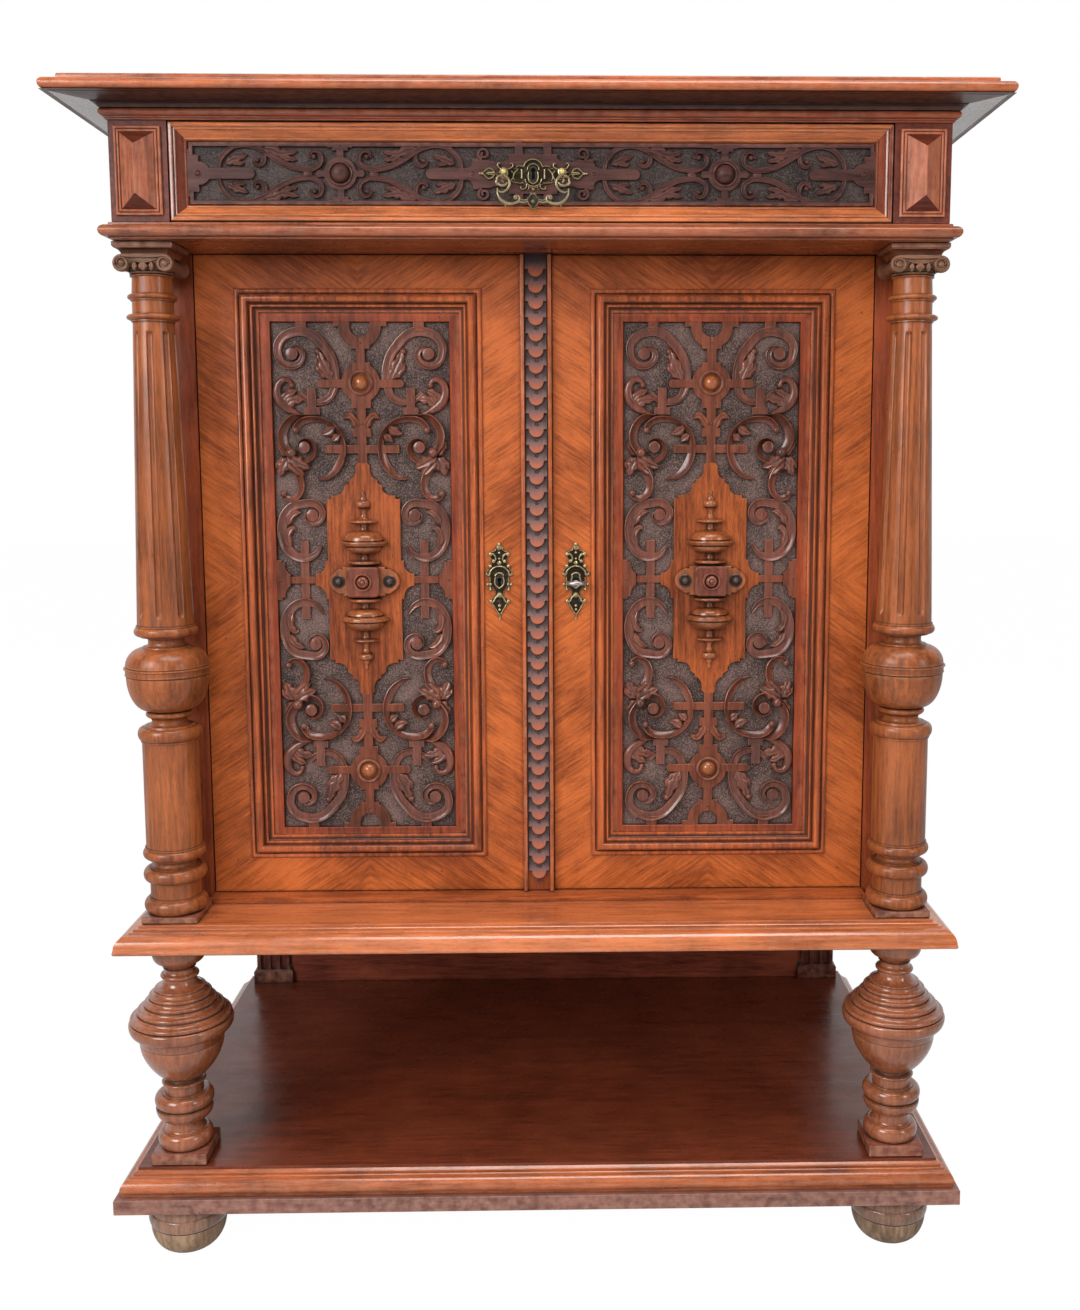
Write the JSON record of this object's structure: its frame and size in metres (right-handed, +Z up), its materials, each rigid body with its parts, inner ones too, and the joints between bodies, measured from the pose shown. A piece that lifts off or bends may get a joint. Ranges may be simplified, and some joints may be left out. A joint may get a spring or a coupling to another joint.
{
  "type": "parlour cupboard",
  "caption": "Carved walnut parlour cupboard with doors behind fluted columns, a frieze drawer with a bail pull, and an open bay on turned legs and bun feet.",
  "frame": {"origin": "on the floor, under the middle of the top board", "axes": "+Z up, +X to the viewer's right, the front faces -Y"},
  "size_m": [1.06, 0.666, 1.4075],
  "materials": {
    "walnut": "red-brown walnut, satin shellac polish, worn on the noses",
    "dark_walnut": "darkened walnut, carved, dull polish",
    "veneer": "straight-grained walnut veneer laid on the slant, satin polish",
    "lining": "plain unpolished oak",
    "brass": "cast brass, aged, bright on the high spots",
    "steel": "dull steel"
  },
  "bodies": {
    "carcass": {"foot_front_left": "walnut", "foot_front_right": "walnut", "foot_rear_left": "walnut", "foot_rear_right": "walnut", "base_moulding": "walnut", "base_shelf": "walnut", "leg_left": "walnut", "leg_right": "walnut", "rear_post_left": "walnut", "rear_post_right": "walnut", "lower_back_panel": "veneer", "platform_moulding": "walnut", "platform_board": "walnut", "column_left": "walnut", "column_right": "walnut", "capital_left": "walnut", "capital_right": "walnut", "cupboard_side_left": "walnut", "cupboard_side_right": "walnut", "inner_shelf": "lining", "back_panel": "lining", "door_sill": "walnut", "waist_moulding": "walnut", "waist_board": "walnut", "frieze_end_left": "dark_walnut", "frieze_end_right": "dark_walnut", "diamond_left": "walnut", "diamond_right": "walnut", "cornice": "walnut", "top_board": "walnut", "lower_pivot_left": "steel", "lower_pivot_right": "steel", "upper_pivot_left": "steel", "upper_pivot_right": "steel"},
    "left_door": {"door_frame_left": "veneer", "door_moulding_left": "walnut", "door_panel_left": "dark_walnut", "door_strapwork_left": "walnut", "split_turning_left": "walnut", "escutcheon_left": "brass", "astragal": "walnut"},
    "right_door": {"door_frame_right": "veneer", "door_moulding_right": "walnut", "door_panel_right": "dark_walnut", "door_strapwork_right": "walnut", "split_turning_right": "walnut", "escutcheon_right": "brass", "lock_case": "steel"},
    "drawer": {"drawer_front": "walnut", "drawer_strapwork": "dark_walnut", "drawer_side_left": "lining", "drawer_side_right": "lining", "drawer_back": "lining", "drawer_bottom": "lining", "pull_plate": "brass"},
    "bail": {"pull_bail": "brass"},
    "door_key": {"key": "steel"},
    "bolt": {"lock_bolt": "steel"}
  },
  "joints": [
    {"name": "left_door_hinge", "type": "hinge", "parent": "carcass", "child": "left_door", "pos_m": [-0.4, -0.158, 0.83785], "axis": [0, 0, -1], "range_deg": [0, 68]},
    {"name": "right_door_hinge", "type": "hinge", "parent": "carcass", "child": "right_door", "pos_m": [0.4, -0.158, 0.83785], "axis": [0, 0, 1], "range_deg": [0, 68]},
    {"name": "drawer_slide", "type": "slide", "parent": "carcass", "child": "drawer", "axis": [0, -1, 0], "range_m": [0, 0.32]},
    {"name": "bail_swing", "type": "hinge", "parent": "drawer", "child": "bail", "pos_m": [0, -0.2788, 1.3133], "axis": [-1, 0, 0], "range_deg": [0, 85]},
    {"name": "key_turn", "type": "hinge", "parent": "right_door", "child": "door_key", "pos_m": [0.048, -0.164, 0.83785], "axis": [0, 1, 0], "range_deg": [0, 90]},
    {"name": "bolt_throw", "type": "slide", "parent": "right_door", "child": "bolt", "axis": [-1, 0, 0], "range_m": [0, 0.0101]}
  ],
  "couplings": [
    {"joint": "bolt_throw", "follows": "key_turn", "m_per_rad": 0.0063662}
  ]
}
